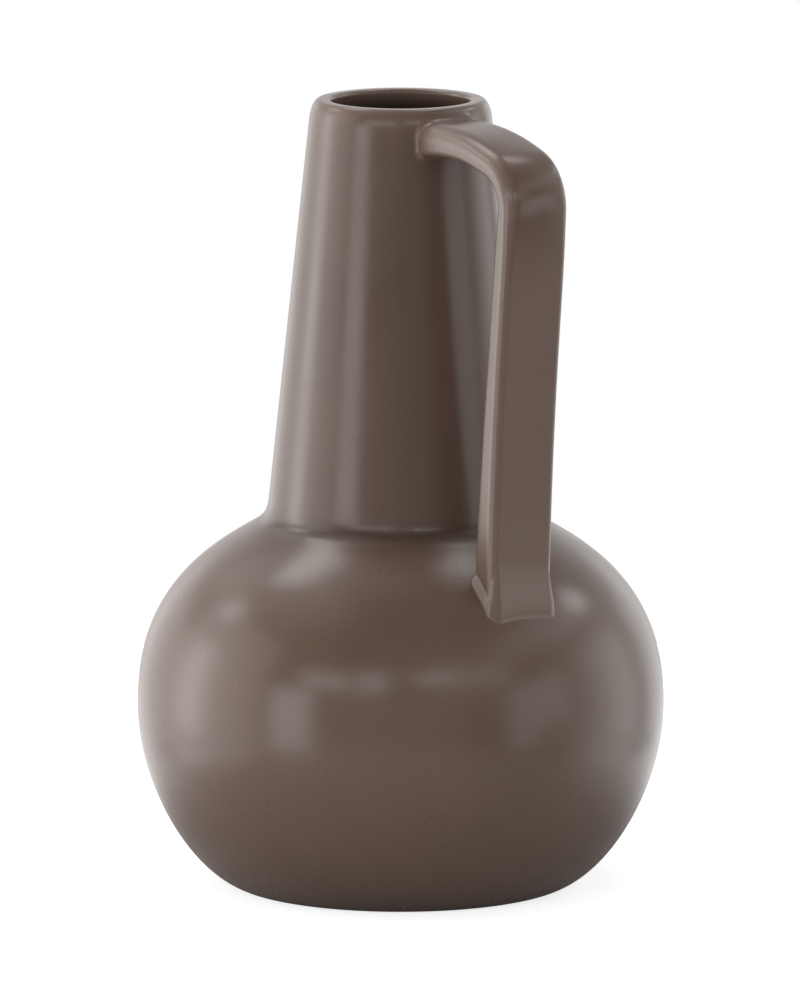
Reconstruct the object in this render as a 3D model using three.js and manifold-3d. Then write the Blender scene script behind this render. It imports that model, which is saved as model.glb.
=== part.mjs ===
import * as THREE from 'three';
import { mergeVertices } from 'three/addons/utils/BufferGeometryUtils.js';
import Module from 'manifold-3d';

// Driving dimensions, in millimetres, with angles in degrees
const vesselHeight = 250;
const wall = 5;
const seamGap = 0.3;

// Bulb
const bellyRadius = 83.3;
const bellyHeight = 58;
const footRadius = 52;
const footSlope = 18;
const footPull = 15.5;
const bellyPullBelow = 26.5;
const bellyPullAbove = 42.5;
const shoulderPull = 11.2;
const shoulderSlope = 38;
const floorThickness = 6;
const footRingWidth = 9;
const footRecess = 2;

// Neck
const neckBaseRadius = 42.2;
const neckBaseHeight = 117.7;
const neckTopRadius = 28.1;
const mouthRadius = 21.9;
const lipRoundWidth = 2.5;
const lipRoundHeight = 6;
const lipInnerRound = 1.3;
const seamCove = 5;

// Strap handle: its back is the face turned away from the vessel
const strapWidth = 22.5;
const strapThickness = 8.2;
const strapCorner = 2;
const strapRootDrop = 4.2;
const strapRootDepth = 8;
const strapFall = 16;
const strapCornerInset = 0.8;
const strapCornerDrop = 12.7;
const strapBendRadius = 17.4;
const strapLean = 8;
const strapFootInset = 13.6;
const strapFootDepth = 4;
const upperSwell = 3.1;
const upperSwellLength = 34;
const lowerSwell = 3;
const lowerSwellLength = 88;

// Slip coves round the strap's two ends
const upperCove = 2;
const lowerCove = 3.1;

// Smoothness
const turnSteps = 60;
const lowerCurveSteps = 7;
const upperCurveSteps = 8;
const roundSteps = 5;
const coveSteps = 4;
const strapCurveSteps = 7;
const cornerSteps = 3;
const widthSteps = 5;
const thicknessSteps = 2;
const seatSearchSteps = 40;
const tracedSteps = 40;
const slopeStep = 0.1;
const weldDistance = 1e-5;

// How quickly the strap swells towards its ends, how far its blank ends run past their seats, and how deep
// a cove's toe dips into the wall that it runs out on
const swellEase = 1.25;
const overrun = 3;
const toeDip = 0.5;

const radians = THREE.MathUtils.degToRad;
const quarterTurn = Math.PI / 2;

// A profile is a list of points with the radius as x and the height as y.

function bulbLowerCurve() {
  const slope = radians(footSlope);
  return new THREE.CubicBezierCurve(
    new THREE.Vector2(footRadius, 0),
    new THREE.Vector2(footRadius + footPull * Math.cos(slope), footPull * Math.sin(slope)),
    new THREE.Vector2(bellyRadius, bellyHeight - bellyPullBelow),
    new THREE.Vector2(bellyRadius, bellyHeight)
  );
}

function bulbUpperCurve() {
  const slope = radians(shoulderSlope);
  return new THREE.CubicBezierCurve(
    new THREE.Vector2(bellyRadius, bellyHeight),
    new THREE.Vector2(bellyRadius, bellyHeight + bellyPullAbove),
    new THREE.Vector2(
      neckBaseRadius + shoulderPull * Math.cos(slope),
      neckBaseHeight - shoulderPull * Math.sin(slope)
    ),
    new THREE.Vector2(neckBaseRadius, neckBaseHeight)
  );
}

const neckTaper = (neckBaseRadius - neckTopRadius) / (vesselHeight - neckBaseHeight);
const neckRise = new THREE.Vector2(-neckTaper, 1).normalize();

function neckRadiusAt(height) {
  return neckBaseRadius - neckTaper * (height - neckBaseHeight);
}

// The point where two lines meet, each given by a point and a direction
function lineMeet(point, direction, otherPoint, otherDirection) {
  const between = otherPoint.clone().sub(point);
  const along = between.cross(otherDirection) / direction.cross(otherDirection);
  return point.clone().addScaledVector(direction, along);
}

// The cove at the foot of the neck touches both walls at this distance from their corner.
const seamAngle = neckRise.angle() + radians(shoulderSlope);
const seamReach = seamCove / Math.tan(seamAngle / 2);
const upperCurve = bulbUpperCurve();
const upperCurveLength = upperCurve.getLength();

function shoulderAt(distanceFromNeck) {
  const place = 1 - distanceFromNeck / upperCurveLength;
  const point = upperCurve.getPointAt(place);
  const rise = upperCurve.getTangentAt(place);
  return { point, rise, out: new THREE.Vector2(rise.y, -rise.x) };
}

function insetPoints(curve, from, to, steps) {
  const points = [];
  for (let step = 0; step <= steps; step += 1) {
    const place = from + ((to - from) * step) / steps;
    const rise = curve.getTangentAt(place);
    points.push(curve.getPointAt(place).add(new THREE.Vector2(-rise.y, rise.x).multiplyScalar(wall)));
  }
  return points;
}

function curvePoints(curve, from, to, steps) {
  const points = [];
  for (let step = 0; step <= steps; step += 1) {
    points.push(curve.getPointAt(from + ((to - from) * step) / steps));
  }
  return points;
}

// The part of a rising profile that is above a height, starting exactly there
function profileAbove(points, height) {
  const first = points.findIndex((point) => point.y > height);
  const low = points[Math.max(first - 1, 0)];
  const high = points[first];
  const share = low === high ? 0 : (height - low.y) / (high.y - low.y);
  return [low.clone().lerp(high, Math.max(share, 0)), ...points.slice(first)];
}

function revolve(profile) {
  const geometry = new THREE.LatheGeometry(profile, turnSteps);
  geometry.rotateX(Math.PI / 2);
  return geometry;
}

function bodyProfile() {
  const end = 1 - (seamReach + seamGap) / upperCurveLength;
  const outside = [
    ...curvePoints(bulbLowerCurve(), 0, 1, lowerCurveSteps),
    ...curvePoints(upperCurve, 0, end, upperCurveSteps).slice(1)
  ];
  const inside = profileAbove([
    ...insetPoints(bulbLowerCurve(), 0, 1, lowerCurveSteps),
    ...insetPoints(upperCurve, 0, end, upperCurveSteps).slice(1)
  ], floorThickness);
  const ringInside = footRadius - footRingWidth;
  return [
    new THREE.Vector2(0, footRecess),
    new THREE.Vector2(ringInside - footRecess, footRecess),
    new THREE.Vector2(ringInside, 0),
    ...outside,
    ...inside.reverse(),
    new THREE.Vector2(0, floorThickness)
  ];
}

// The neck's outside, from a height up over the rounded lip to its flat top
function neckOutside(fromHeight) {
  const points = [new THREE.Vector2(neckRadiusAt(fromHeight), fromHeight)];
  for (let step = 0; step <= roundSteps; step += 1) {
    const angle = (step / roundSteps) * quarterTurn;
    const height = vesselHeight - lipRoundHeight * (1 - Math.sin(angle));
    points.push(new THREE.Vector2(neckRadiusAt(height) - lipRoundWidth * (1 - Math.cos(angle)), height));
  }
  return points;
}

function mouthRound() {
  const centre = new THREE.Vector2(mouthRadius + lipInnerRound, vesselHeight - lipInnerRound);
  const points = [];
  for (let step = 0; step <= coveSteps; step += 1) {
    const angle = quarterTurn * (1 + step / coveSteps);
    const spoke = new THREE.Vector2(Math.cos(angle), Math.sin(angle));
    points.push(centre.clone().addScaledVector(spoke, lipInnerRound));
  }
  return points;
}

// The bore opens from the mouth down to one wall inside the neck's base.
function boreLine() {
  const top = new THREE.Vector2(mouthRadius, vesselHeight - lipInnerRound);
  const base = new THREE.Vector2(neckBaseRadius - wall, neckBaseHeight);
  return { top, fall: base.sub(top).normalize() };
}

function boreRadiusAt(height) {
  const { top, fall } = boreLine();
  return top.x + (fall.x * (height - top.y)) / fall.y;
}

const neckStart = neckBaseHeight + seamReach * neckRise.y;

function neckProfile() {
  const bottom = neckStart + seamGap;
  const profile = [
    new THREE.Vector2(boreRadiusAt(bottom), bottom),
    ...neckOutside(bottom),
    ...mouthRound()
  ];
  return [...profile, profile[0].clone()];
}

// The seam is a slice of the wall between the neck and the shoulder, coved outside.
function neckJointProfile() {
  const shoulder = shoulderAt(seamReach);
  const neckSide = new THREE.Vector2(neckRadiusAt(neckStart), neckStart);
  const corner = lineMeet(shoulder.point, shoulder.rise, neckSide, neckRise);
  const cove = new THREE.QuadraticBezierCurve(shoulder.point, corner, neckSide).getPoints(coveSteps);
  const shoulderInside = shoulder.point.clone().addScaledVector(shoulder.out, -wall);
  const { top, fall } = boreLine();
  const insideCorner = lineMeet(shoulderInside, shoulder.rise, top, fall);
  const boreEnd = new THREE.Vector2(boreRadiusAt(neckStart), neckStart);
  return [shoulderInside, ...cove, boreEnd, insideCorner, shoulderInside.clone()];
}

// The strap's back line runs in the plane of the handle, with the reach from the axis as x.

function strapBackLine() {
  const fallAngle = radians(-strapFall);
  const fall = new THREE.Vector2(Math.cos(fallAngle), Math.sin(fallAngle));
  const leanAngle = radians(-90 - strapLean);
  const drop = new THREE.Vector2(Math.cos(leanAngle), Math.sin(leanAngle));
  const corner = new THREE.Vector2(bellyRadius - strapCornerInset, vesselHeight - strapCornerDrop);
  const tangentLength = strapBendRadius * Math.tan((fallAngle - leanAngle) / 2);
  const bendStart = corner.clone().addScaledVector(fall, -tangentLength);
  const bendEnd = corner.clone().addScaledVector(drop, tangentLength);
  const bendCentre = bendStart.clone().addScaledVector(new THREE.Vector2(fall.y, -fall.x), strapBendRadius);
  const root = new THREE.Vector2(neckTopRadius - strapRootDepth, vesselHeight - strapRootDrop);
  const rootPull = bendStart.clone().addScaledVector(fall, -bendStart.distanceTo(root) / 2);
  const foot = strapFoot();
  const footGuide = bendEnd.clone().addScaledVector(drop, bendEnd.distanceTo(foot) / 2);
  const line = new THREE.Path();
  line.moveTo(root.x, root.y);
  line.quadraticCurveTo(rootPull.x, rootPull.y, bendStart.x, bendStart.y);
  const bendFrom = fallAngle + quarterTurn;
  const bendTo = leanAngle + quarterTurn;
  line.absarc(bendCentre.x, bendCentre.y, strapBendRadius, bendFrom, bendTo, true);
  line.quadraticCurveTo(footGuide.x, footGuide.y, foot.x, foot.y);
  return line;
}

// The strap's back lands on the bulb at a set reach from the axis and goes on a little into its wall.
function strapFoot() {
  const reach = bellyRadius - strapFootInset;
  const shoulder = upperCurve.getPoints(tracedSteps);
  const below = shoulder.findIndex((point) => point.x < reach);
  const share = (shoulder[below - 1].x - reach) / (shoulder[below - 1].x - shoulder[below].x);
  const landing = shoulder[below - 1].clone().lerp(shoulder[below], share);
  return landing.setY(landing.y - strapFootDepth);
}

const backLine = strapBackLine();
const backLength = backLine.getLength();

function strapThicknessAt(distance) {
  const nearNeck = Math.max(1 - distance / upperSwellLength, 0) ** swellEase;
  const nearBulb = Math.max(1 - (backLength - distance) / lowerSwellLength, 0) ** swellEase;
  return strapThickness + upperSwell * nearNeck + lowerSwell * nearBulb;
}

function sectionPoint(corner, angle) {
  const out = new THREE.Vector2(Math.cos(angle), Math.sin(angle));
  return {
    across: corner.across + out.x * strapCorner,
    inward: corner.inward + out.y * strapCorner,
    out
  };
}

// The strap's section, as points across its width and inward from its back, with their outward directions
function strapSection(thickness) {
  const points = [];
  const halfFlat = strapWidth / 2 - strapCorner;
  const corners = [
    { across: -halfFlat, inward: strapCorner, turn: 2 * quarterTurn },
    { across: halfFlat, inward: strapCorner, turn: 3 * quarterTurn },
    { across: halfFlat, inward: thickness - strapCorner, turn: 0 },
    { across: -halfFlat, inward: thickness - strapCorner, turn: quarterTurn }
  ];
  corners.forEach((corner, index) => {
    const next = corners[(index + 1) % corners.length];
    for (let step = 0; step <= cornerSteps; step += 1) {
      const angle = corner.turn + (step / cornerSteps) * quarterTurn;
      points.push(sectionPoint(corner, angle));
    }
    const endAngle = corner.turn + quarterTurn;
    const from = sectionPoint(corner, endAngle);
    const to = sectionPoint(next, endAngle);
    const sideSteps = index % 2 === 0 ? widthSteps : thicknessSteps;
    for (let step = 1; step < sideSteps; step += 1) {
      const share = step / sideSteps;
      points.push({
        across: THREE.MathUtils.lerp(from.across, to.across, share),
        inward: THREE.MathUtils.lerp(from.inward, to.inward, share),
        out: from.out
      });
    }
  });
  return points;
}

// The place and the directions of the strap at a distance along its back line
function strapFrame(distance) {
  const place = backLine.getPoint(distance / backLength);
  const along = backLine.getTangent(distance / backLength);
  return {
    place: new THREE.Vector3(place.x, 0, place.y),
    along: new THREE.Vector3(along.x, 0, along.y),
    across: new THREE.Vector3(0, -1, 0),
    inward: new THREE.Vector3(along.y, 0, -along.x)
  };
}

function strapPoint(index, distance) {
  const frame = strapFrame(distance);
  const { across, inward, out } = strapSection(strapThicknessAt(distance))[index];
  return {
    point: frame.place.addScaledVector(frame.across, across).addScaledVector(frame.inward, inward),
    out: frame.across.clone().multiplyScalar(out.x).addScaledVector(frame.inward, out.y),
    along: frame.along
  };
}

const sectionCount = strapSection(strapThickness).length;

// Skins a closed body over rings of equal length, with a fan over each end.
function skin(rings) {
  const count = rings[0].length;
  const positions = rings.flat().flatMap((point) => [point.x, point.y, point.z]);
  const indices = [];
  for (let ring = 0; ring + 1 < rings.length; ring += 1) {
    for (let spot = 0; spot < count; spot += 1) {
      const a = ring * count + spot;
      const b = ring * count + ((spot + 1) % count);
      indices.push(a, b, b + count, a, b + count, a + count);
    }
  }
  const last = (rings.length - 1) * count;
  const startHub = positions.length / 3;
  [rings[0], rings[rings.length - 1]].forEach((ring) => {
    const hub = ring.reduce((sum, point) => sum.add(point), new THREE.Vector3()).divideScalar(count);
    positions.push(hub.x, hub.y, hub.z);
  });
  for (let spot = 0; spot < count; spot += 1) {
    const next = (spot + 1) % count;
    indices.push(startHub, next, spot, startHub + 1, last + spot, last + next);
  }
  const geometry = new THREE.BufferGeometry();
  geometry.setAttribute('position', new THREE.Float32BufferAttribute(positions, 3));
  geometry.setIndex(indices);
  return geometry;
}

function strapStations() {
  const stations = [0];
  backLine.curves.forEach((curve) => {
    const start = stations[stations.length - 1];
    const length = curve.getLength();
    for (let step = 1; step <= strapCurveSteps; step += 1) {
      stations.push(start + (length * step) / strapCurveSteps);
    }
  });
  stations[stations.length - 1] = backLength;
  return stations;
}

function strapBlank() {
  const indices = [...Array(sectionCount).keys()];
  return skin(strapStations().map((distance) => indices.map((index) => strapPoint(index, distance).point)));
}

// A round wall is given by its radius at each height, traced along its outside.

function tracedRadius(profile) {
  return (height) => {
    const above = profile.findIndex((point) => point.y > height);
    if (above < 1) return profile[above < 0 ? profile.length - 1 : 0].x;
    const low = profile[above - 1];
    const high = profile[above];
    return THREE.MathUtils.lerp(low.x, high.x, (height - low.y) / (high.y - low.y));
  };
}

function wallNormal(radiusAt, point) {
  const slope = (radiusAt(point.z + slopeStep) - radiusAt(point.z - slopeStep)) / (2 * slopeStep);
  const spoke = new THREE.Vector3(point.x, point.y, 0).normalize();
  return spoke.setZ(-slope).normalize();
}

// The distance along the strap at which one line of its skin crosses the wall
function seatDistance(index, radiusAt, inside, outside) {
  let buried = inside;
  let free = outside;
  for (let step = 0; step < seatSearchSteps; step += 1) {
    const middle = (buried + free) / 2;
    const { point } = strapPoint(index, middle);
    if (Math.hypot(point.x, point.y) < radiusAt(point.z)) buried = middle;
    else free = middle;
  }
  return (buried + free) / 2;
}

// The strap's end with a cove that spreads on to the wall, as rings from the free strap into the wall
function covedEnd(radiusAt, inside, outside, cove) {
  const outward = Math.sign(outside - inside);
  const rings = Array.from({ length: coveSteps + 3 }, () => []);
  for (let index = 0; index < sectionCount; index += 1) {
    const seat = seatDistance(index, radiusAt, inside, outside);
    const { point, out, along } = strapPoint(index, seat);
    const normal = wallNormal(radiusAt, point);
    const spread = out.clone().addScaledVector(normal, -out.dot(normal)).normalize();
    rings[0].push(strapPoint(index, seat + outward * (cove + overrun)).point);
    for (let step = 0; step <= coveSteps; step += 1) {
      const share = step / coveSteps;
      const onStrap = strapPoint(index, seat + outward * cove * (1 - share) ** 2).point;
      const onWall = onStrap.addScaledVector(spread, cove * share ** 2);
      rings[step + 1].push(onWall.addScaledVector(normal, -toeDip * share ** 2));
    }
    const toe = rings[coveSteps + 1][index];
    rings[coveSteps + 2].push(toe.clone().addScaledVector(along, -outward * overrun));
  }
  return skin(outward > 0 ? rings.reverse() : rings);
}

const manifold = await Module();
manifold.setup();

function solidOf(geometry) {
  const bare = geometry.clone();
  bare.deleteAttribute('normal');
  bare.deleteAttribute('uv');
  const merged = mergeVertices(bare, weldDistance);
  return new manifold.Manifold(new manifold.Mesh({
    numProp: 3,
    vertProperties: new Float32Array(merged.attributes.position.array),
    triVerts: new Uint32Array(merged.index.array)
  }));
}

function geometryOf(solid) {
  const { vertProperties, triVerts } = solid.getMesh();
  const geometry = new THREE.BufferGeometry();
  geometry.setAttribute('position', new THREE.BufferAttribute(vertProperties, 3));
  geometry.setIndex(new THREE.BufferAttribute(triVerts, 1));
  return geometry;
}

// A filled round solid that stands off the wall by a clearance
function filledWall(profile, clearance) {
  const grown = profile.map((point, index) => {
    const before = profile[Math.max(index - 1, 0)];
    const after = profile[Math.min(index + 1, profile.length - 1)];
    const rise = after.clone().sub(before).normalize();
    return point.clone().add(new THREE.Vector2(rise.y, -rise.x).multiplyScalar(clearance));
  });
  const first = grown[0];
  const last = grown[grown.length - 1];
  return solidOf(revolve([
    new THREE.Vector2(0, first.y),
    ...grown,
    new THREE.Vector2(0, last.y)
  ]));
}

const neckWall = neckOutside(neckStart + seamGap);
const bulbWall = [
  ...curvePoints(bulbLowerCurve(), 0, 1, lowerCurveSteps),
  ...curvePoints(upperCurve, 0, 1 - (seamReach + seamGap) / upperCurveLength, upperCurveSteps).slice(1)
];

function handleGeometry() {
  const atNeck = filledWall(neckWall, upperCove + seamGap);
  const atBulb = filledWall(bulbWall, lowerCove + seamGap);
  return geometryOf(solidOf(strapBlank()).subtract(atNeck).subtract(atBulb));
}

function upperJointGeometry() {
  const topRun = backLine.curves[0].getLength();
  const end = covedEnd(tracedRadius(neckWall), 0, topRun, upperCove);
  return geometryOf(solidOf(end)
    .intersect(filledWall(neckWall, upperCove))
    .subtract(filledWall(neckWall, seamGap)));
}

function lowerJointGeometry() {
  const leg = backLine.curves[2].getLength();
  const end = covedEnd(tracedRadius(bulbWall), backLength, backLength - leg, lowerCove);
  return geometryOf(solidOf(end)
    .intersect(filledWall(bulbWall, lowerCove))
    .subtract(filledWall(bulbWall, seamGap)));
}

const jug = new THREE.Group();

function addPiece(name, geometry, color, roughness) {
  const material = new THREE.MeshStandardMaterial({ color, roughness, metalness: 0 });
  const piece = new THREE.Mesh(geometry, material);
  piece.name = name;
  jug.add(piece);
}

const glaze = 0x6b5b52;
const slipGlaze = 0x66564d;

addPiece('body', revolve(bodyProfile()), glaze, 0.42);
addPiece('neck', revolve(neckProfile()), glaze, 0.42);
addPiece('neck_joint', revolve(neckJointProfile()), slipGlaze, 0.45);
addPiece('handle', handleGeometry(), glaze, 0.42);
addPiece('handle_upper_joint', upperJointGeometry(), slipGlaze, 0.45);
addPiece('handle_lower_joint', lowerJointGeometry(), slipGlaze, 0.45);

export default jug;
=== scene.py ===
# %% [markdown]
# # A jug vase
# The real object is a glazed stoneware vase, 250 mm tall: a squashed round bulb, a tapering neck with a
# rounded lip, and one flat strap handle that is luted on with slip at the neck and at the shoulder. The
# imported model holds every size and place, so it is loaded first and all that follows is built around it, in
# metres, with the foot on the floor at the origin.

# %% Load the frame
import bmesh
import bpy
import math
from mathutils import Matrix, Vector
from mathutils.geometry import interpolate_bezier


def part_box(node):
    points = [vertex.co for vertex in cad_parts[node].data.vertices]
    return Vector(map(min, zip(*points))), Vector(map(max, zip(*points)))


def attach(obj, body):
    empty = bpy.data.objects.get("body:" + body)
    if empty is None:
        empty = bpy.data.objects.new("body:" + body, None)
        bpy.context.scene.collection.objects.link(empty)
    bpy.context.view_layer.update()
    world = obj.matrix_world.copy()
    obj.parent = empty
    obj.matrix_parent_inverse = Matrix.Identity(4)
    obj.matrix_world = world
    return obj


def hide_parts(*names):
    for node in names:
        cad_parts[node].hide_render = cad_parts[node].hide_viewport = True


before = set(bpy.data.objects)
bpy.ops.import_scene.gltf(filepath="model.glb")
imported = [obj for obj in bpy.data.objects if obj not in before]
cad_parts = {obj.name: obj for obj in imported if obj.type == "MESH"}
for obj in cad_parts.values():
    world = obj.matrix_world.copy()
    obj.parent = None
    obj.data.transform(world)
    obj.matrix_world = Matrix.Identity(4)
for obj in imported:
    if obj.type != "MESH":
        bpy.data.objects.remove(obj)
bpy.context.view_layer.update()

body_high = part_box("body")[1]
neck_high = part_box("neck")[1]
handle_low, handle_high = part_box("handle")
mm = 0.001
print("height in mm:", round(neck_high.z / mm, 1), "belly radius in mm:", round(body_high.y / mm, 1))

# %% [markdown]
# ## Camera
# The photograph was taken with a long lens from about four metres, a little above the lip, with the handle
# turned to the right. The camera looks from there at a point on the vessel's axis.

# %% Place the camera
view_azimuth = math.radians(57.5)
view_elevation = math.radians(9.59)
view_distance = 4.0567
view_target = Vector((0.0, 0.0, 0.12213))


def from_vase(azimuth, elevation):
    """The direction from the vase at an angle round it and an angle above level."""
    level = math.cos(elevation)
    return Vector((math.sin(azimuth) * level, -math.cos(azimuth) * level, math.sin(elevation)))


camera_data = bpy.data.cameras.new("camera")
camera_data.sensor_fit = "AUTO"
camera_data.sensor_width = 36.0
camera_data.lens = 462.8
camera_data.shift_x = -0.0007
camera_data.shift_y = 0.0002
camera_data.clip_end = 60.0
camera = bpy.data.objects.new("camera", camera_data)
bpy.context.scene.collection.objects.link(camera)
towards_camera = from_vase(view_azimuth, view_elevation)
camera.location = view_target + view_distance * towards_camera
camera.rotation_euler = (-towards_camera).to_track_quat("-Z", "Y").to_euler()
bpy.context.scene.camera = camera
bpy.context.scene.view_settings.view_transform = "Standard"
print("camera at", [round(value, 3) for value in camera.location])

# %% [markdown]
# ## Outlines
# Bulb, neck and seam are round, so each needs only half of its cross-section, an outline in the XZ plane that
# is spun about the vessel's axis. A free curve could be traced by eye, but the potter's template is simpler:
# two sweeps for the bulb, a straight taper for the neck. An outline point is a radius and a height.

# %% Sizes of the bulb and the neck
wall = 5.0 * mm
belly_radius = body_high.y
belly_height = 58.0 * mm
foot_radius = 52.0 * mm
foot_slope = math.radians(18.0)
foot_pull = 15.5 * mm
belly_pull_below = 26.5 * mm
belly_pull_above = 42.5 * mm
neck_base_radius = 42.2 * mm
neck_base_height = 117.7 * mm
neck_top_radius = 28.1 * mm
shoulder_slope = math.radians(38.0)
shoulder_pull = 11.2 * mm
vase_height = neck_high.z
neck_taper = (neck_base_radius - neck_top_radius) / (vase_height - neck_base_height)
print("neck leans in by", round(math.degrees(math.atan(neck_taper)), 2), "degrees")


# %% Sweeps of the bulb
def sweep(start, start_handle, end_handle, end, steps):
    """A smooth run of outline points between two ends, pulled towards two handles."""
    flat = [Vector((point[0], point[1], 0.0)) for point in (start, start_handle, end_handle, end)]
    return [Vector((place.x, place.y)) for place in interpolate_bezier(*flat, steps + 1)]


def bulb_sweeps(steps):
    """The bulb from its foot to the corner under the neck."""
    foot_handle = (foot_radius + foot_pull * math.cos(foot_slope), foot_pull * math.sin(foot_slope))
    belly = (belly_radius, belly_height)
    shoulder_handle = (
        neck_base_radius + shoulder_pull * math.cos(shoulder_slope),
        neck_base_height - shoulder_pull * math.sin(shoulder_slope),
    )
    below = (belly_radius, belly_height - belly_pull_below)
    above = (belly_radius, belly_height + belly_pull_above)
    lower = sweep((foot_radius, 0.0), foot_handle, below, belly, steps)
    upper = sweep(belly, above, shoulder_handle, (neck_base_radius, neck_base_height), steps)
    return lower + upper[1:]


def outward(points, index):
    """The direction that points away from the clay at a point of a rising outline."""
    rise = points[min(index + 1, len(points) - 1)] - points[max(index - 1, 0)]
    return Vector((rise.y, -rise.x)).normalized()


sweep_steps = 48
bulb_line = bulb_sweeps(sweep_steps)
print("bulb outline has", len(bulb_line), "points")

# %% [markdown]
# ### From outline to clay
# The outline starts as a plane merged to a single point, which is extruded from place to place as one would
# ctrl-click a profile by hand. Spin then turns it round the axis. The last step of a full spin lies on the
# first one, so doubles are merged, and only then are the normals made to point out.

# %% Helpers that turn an outline into a round piece
turn_steps = 240
weld = 2e-6
smooth_limit = math.radians(32.0)


def deselect_all():
    """Nothing stays selected, so that the next operator acts on the new piece alone."""
    if bpy.context.object and bpy.context.object.mode != "OBJECT":
        bpy.ops.object.mode_set(mode="OBJECT")
    bpy.ops.object.select_all(action="DESELECT")


def draw_outline(name, points):
    """A chain of edges in the XZ plane, drawn by extruding one point along the outline."""
    deselect_all()
    start = points[0]
    bpy.ops.mesh.primitive_plane_add(size=mm, location=(start.x, 0.0, start.y))
    piece = bpy.context.object
    piece.name = name
    piece.data.name = name
    bpy.ops.object.transform_apply(location=True, rotation=False, scale=False)
    bpy.ops.object.mode_set(mode="EDIT")
    bpy.ops.mesh.select_all(action="SELECT")
    bpy.ops.mesh.merge(type="CENTER")
    for before, after in zip(points, points[1:]):
        step = (after.x - before.x, 0.0, after.y - before.y)
        bpy.ops.mesh.extrude_vertices_move(TRANSFORM_OT_translate={"value": step})
    return piece


def finish_piece(piece):
    """The closed piece's normals are made to point out, and it is shaded smooth."""
    bpy.ops.mesh.select_all(action="SELECT")
    bpy.ops.mesh.normals_make_consistent(inside=False)
    bpy.ops.object.mode_set(mode="OBJECT")
    bpy.ops.object.shade_smooth_by_angle(angle=smooth_limit)
    print(piece.name, "has", len(piece.data.polygons), "faces")
    return piece


def round_piece(name, points):
    """A round piece, spun from a closed outline or from one that starts and ends on the axis."""
    piece = draw_outline(name, points)
    bpy.ops.mesh.select_all(action="SELECT")
    bpy.ops.mesh.spin(steps=turn_steps, angle=2 * math.pi, center=(0, 0, 0), axis=(0, 0, 1))
    bpy.ops.mesh.select_all(action="SELECT")
    bpy.ops.mesh.remove_doubles(threshold=weld)
    return finish_piece(piece)


# %% Small rounds on an outline
def pulled(start, handle, end, share):
    """A place on the way from one point to another, pulled towards a third."""
    return start * (1 - share) ** 2 + handle * 2 * share * (1 - share) + end * share ** 2


def rounded(points, reach, steps):
    """The middle one of three outline points, softened into a short curve that starts a reach away."""
    before, corner, after = points
    start = corner + (before - corner).normalized() * reach
    end = corner + (after - corner).normalized() * reach
    return [pulled(start, corner, end, step / steps) for step in range(steps + 1)]


# %% [markdown]
# ## The bulb
# The real bulb is one hollow shell, about 5 mm thick, and stands on a flat ring that was wiped bare before
# firing. It could be a sphere squashed and thickened with Solidify, but then the foot, the recess and the
# floor inside would still have to be cut. One closed outline holds them all: under the foot, up the outside,
# over the cut edge at the shoulder, down the inside and back to the axis.

# %% Foot, floor and seam
floor_thickness = 6.0 * mm
foot_ring_width = 9.0 * mm
foot_recess = 2.0 * mm
foot_soft = 1.6 * mm
floor_soft = 5.0 * mm
soft_steps = 5
seam_reach = 6.5 * mm
seam_pull = 0.84
seam_lap = 1.0 * mm
neck_rise = Vector((-neck_taper, 1.0)).normalized()
shoulder_fall = Vector((math.cos(shoulder_slope), -math.sin(shoulder_slope)))
seam_corner = Vector((neck_base_radius, neck_base_height))
print("neck and shoulder meet at", round(math.degrees(neck_rise.angle(shoulder_fall)), 1), "degrees")


def shoulder_part(line, reach):
    """The bulb's outline up to a set distance from the corner under the neck."""
    kept = [place for place in line if (place - seam_corner).length > reach]
    past = line[len(kept)]
    far, near = (kept[-1] - seam_corner).length, (past - seam_corner).length
    return kept + [kept[-1].lerp(past, (far - reach) / (far - near))]


# %% Draw the bulb
def bulb_inside(line):
    """The wall's inner side, from the floor to the seam."""
    inner = [line[index] - outward(line, index) * wall for index in range(len(line))]
    first = next(index for index, place in enumerate(inner) if place.y > floor_thickness)
    below, above = inner[first - 1], inner[first]
    share = (floor_thickness - below.y) / (above.y - below.y)
    return [below.lerp(above, share)] + inner[first:]


def bulb_outline():
    """One closed outline of the bulb, from the axis under the foot to the axis on the floor inside."""
    outside = shoulder_part(bulb_line, seam_reach - seam_lap)
    inside = bulb_inside(shoulder_part(bulb_line, seam_reach))
    axis_below = Vector((0.0, foot_recess))
    ring_inner = Vector((foot_radius - foot_ring_width, 0.0))
    recess_edge = ring_inner + Vector((-foot_recess, foot_recess))
    floor_axis = Vector((0.0, floor_thickness))
    soft_foot = [place for place in outside if (place - outside[0]).length > foot_soft]
    soft_floor = [place for place in inside if (place - inside[0]).length > floor_soft]
    return [
        axis_below,
        *rounded((axis_below, recess_edge, ring_inner), foot_soft / 2, soft_steps),
        *rounded((recess_edge, ring_inner, outside[0]), foot_soft / 2, soft_steps),
        *rounded((ring_inner, outside[0], soft_foot[0]), foot_soft, soft_steps),
        *soft_foot[1:],
        *reversed(soft_floor[1:]),
        *rounded((soft_floor[0], inside[0], floor_axis), floor_soft, soft_steps),
        floor_axis,
    ]


bulb = round_piece("bulb", bulb_outline())

# %% [markdown]
# ## The neck
# The neck is a tapering tube with a heavy rounded lip. The lip is not a bead: the wall thickens towards the
# top, because the bore tapers faster than the outside does. Its outer edge rolls over slowly, as a quarter of
# an ellipse, and its inner edge quickly, which is why only the inner one catches a thin light.

# %% Draw the neck
mouth_radius = 21.9 * mm
lip_round_width = 2.5 * mm
lip_round_height = 6.0 * mm
lip_inner_round = 1.3 * mm
lip_steps = 18
cone_steps = 30
neck_start = seam_corner + neck_rise * seam_reach


def cone_radius(height):
    """The neck's outer radius on its straight taper."""
    return neck_base_radius - neck_taper * (height - neck_base_height)


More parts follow.
